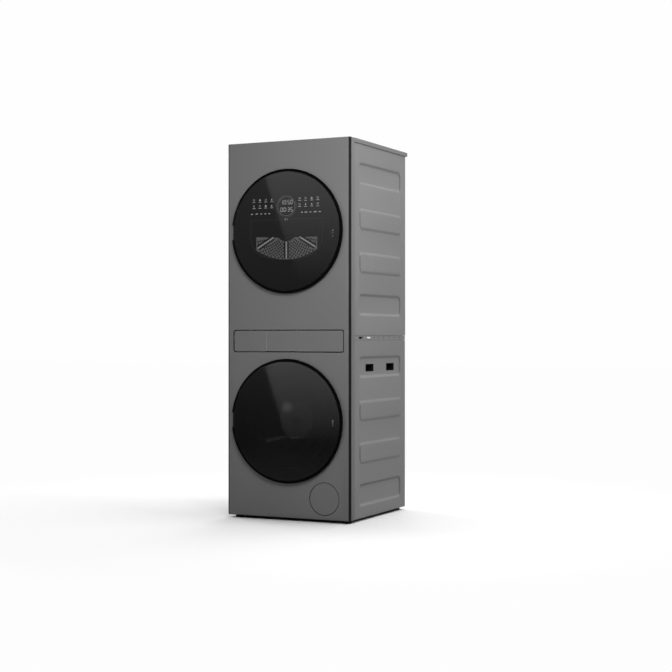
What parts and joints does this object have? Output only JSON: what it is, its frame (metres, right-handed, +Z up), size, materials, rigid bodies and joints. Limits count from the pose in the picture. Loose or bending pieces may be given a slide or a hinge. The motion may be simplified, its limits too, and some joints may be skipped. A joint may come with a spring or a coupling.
{
  "type": "washer dryer stack",
  "caption": "Front-loading washer with a heat-pump dryer stacked on it behind one tall front panel, with round glass doors, a detergent drawer and a drain filter flap.",
  "frame": {"origin": "floor level, under the middle of the outer box", "axes": "+Z up, +X to the right seen from the front, the doors face -Y"},
  "size_m": [0.6, 0.64, 1.645],
  "materials": {
    "panel_paint": "satin grey metallic paint",
    "side_paint": "satin grey paint",
    "cover_paint": "satin grey, fine grain",
    "black_gloss": "gloss black",
    "dark_glass": "smoked tempered glass, printed black behind",
    "clear_glass": "clear glass",
    "white_plastic": "moulded",
    "grey_plastic": "moulded",
    "black_plastic": "moulded",
    "gasket_rubber": "matt",
    "black_rubber": "matt",
    "stainless": "perforated sheet, brushed",
    "zinc_steel": "zinc coated sheet",
    "cast_iron": "as cast",
    "fin_aluminium": "plain",
    "black_enamel": "semi gloss"
  },
  "bodies": {
    "cabinet": {"front_panel": "panel_paint", "washer_hinge": "black_enamel", "dryer_hinge": "black_enamel", "washer_side_left": "side_paint", "washer_side_right": "side_paint", "dryer_side_left": "side_paint", "dryer_side_right": "side_paint", "joining_strip_left": "zinc_steel", "joining_strip_right": "zinc_steel", "washer_back_panel": "zinc_steel", "dryer_back_panel": "zinc_steel", "top_cover": "cover_paint", "foot_front_left": "black_rubber", "foot_front_right": "black_rubber", "foot_rear_left": "black_rubber", "foot_rear_right": "black_rubber", "base_plate": "zinc_steel", "middle_deck": "zinc_steel", "dispenser_housing": "white_plastic", "dispenser_fascia": "panel_paint", "suspension_spring_left": "zinc_steel", "suspension_spring_right": "zinc_steel", "damper_left": "black_plastic", "damper_right": "black_plastic", "door_gasket": "gasket_rubber", "drain_pump": "grey_plastic", "washer_door_lock": "black_plastic", "dryer_door_lock": "black_plastic", "dryer_front_bulkhead": "zinc_steel", "dryer_rear_bulkhead": "zinc_steel", "dryer_belt": "black_rubber", "dryer_motor": "black_enamel", "compressor": "black_enamel", "evaporator": "fin_aluminium", "condenser": "fin_aluminium"},
    "drawer": {"detergent_drawer": "white_plastic", "drawer_front": "panel_paint"},
    "tub": {"washer_tub": "grey_plastic", "counterweight": "cast_iron", "washer_motor": "black_enamel", "washer_belt": "black_rubber"},
    "washer_drum_group": {"washer_drum": "stainless", "washer_lifter_1": "grey_plastic", "washer_lifter_2": "grey_plastic", "washer_lifter_3": "grey_plastic", "drum_pulley": "fin_aluminium"},
    "washer_motor_rotor": {"washer_motor_pulley": "zinc_steel"},
    "filter_cap": {"pump_filter_cap": "black_plastic"},
    "service_flap": {"filter_flap": "panel_paint"},
    "washer_door": {"washer_door_ring": "black_gloss", "washer_door_glass": "dark_glass", "washer_door_bowl": "clear_glass"},
    "dryer_door": {"dryer_door_ring": "black_gloss", "dryer_door_glass": "dark_glass", "dryer_door_window": "clear_glass", "display_module": "black_plastic", "dryer_door_liner": "grey_plastic"},
    "dryer_drum_group": {"dryer_drum": "stainless"},
    "blower": {"blower_rotor": "grey_plastic"},
    "lint_tray": {"lint_filter": "grey_plastic"}
  },
  "joints": [
    {"name": "washer_door_hinge", "type": "hinge", "parent": "cabinet", "child": "washer_door", "pos_m": [-0.263, -0.3085, 0.4315], "axis": [0, 0, -1], "range_deg": [0, 130]},
    {"name": "dryer_door_hinge", "type": "hinge", "parent": "cabinet", "child": "dryer_door", "pos_m": [-0.263, -0.3085, 1.252], "axis": [0, 0, -1], "range_deg": [0, 130]},
    {"name": "drawer_slide", "type": "slide", "parent": "cabinet", "child": "drawer", "axis": [0, -1, 0], "range_m": [0, 0.2]},
    {"name": "service_flap_hinge", "type": "hinge", "parent": "cabinet", "child": "service_flap", "pos_m": [0.176, -0.2995, 0.036], "axis": [1, 0, 0], "range_deg": [0, 90]},
    {"name": "filter_cap_turn", "type": "hinge", "parent": "cabinet", "child": "filter_cap", "pos_m": [0.176, -0.25, 0.102], "axis": [0, -1, 0], "range_deg": [0, 180]},
    {"name": "tub_suspension", "type": "slide", "parent": "cabinet", "child": "tub", "axis": [0, 0, 1], "range_m": [-0.006, 0.006], "stiffness_N_per_m": 20000, "springref_m": 0.0162, "deforming": ["suspension_spring_left", "suspension_spring_right", "damper_left", "damper_right"]},
    {"name": "washer_drum_spin", "type": "hinge", "parent": "tub", "child": "washer_drum_group", "pos_m": [0, -0.04, 0.4315], "axis": [0, 1, 0], "continuous": true},
    {"name": "washer_motor_spin", "type": "hinge", "parent": "tub", "child": "washer_motor_rotor", "pos_m": [-0.15, 0.19, 0.125], "axis": [0, 1, 0], "continuous": true},
    {"name": "dryer_drum_spin", "type": "hinge", "parent": "cabinet", "child": "dryer_drum_group", "pos_m": [0, -0.03, 1.252], "axis": [0, 1, 0], "continuous": true},
    {"name": "blower_spin", "type": "hinge", "parent": "cabinet", "child": "blower", "pos_m": [0.17, 0.05, 0.905], "axis": [0, 1, 0], "continuous": true},
    {"name": "lint_filter_slide", "type": "slide", "parent": "cabinet", "child": "lint_tray", "axis": [0, 0, 1], "range_m": [0, 0.08]}
  ],
  "couplings": [
    {"joint": "washer_motor_spin", "follows": "washer_drum_spin", "ratio": 11.667},
    {"joint": "blower_spin", "follows": "dryer_drum_spin", "ratio": 21.833}
  ]
}
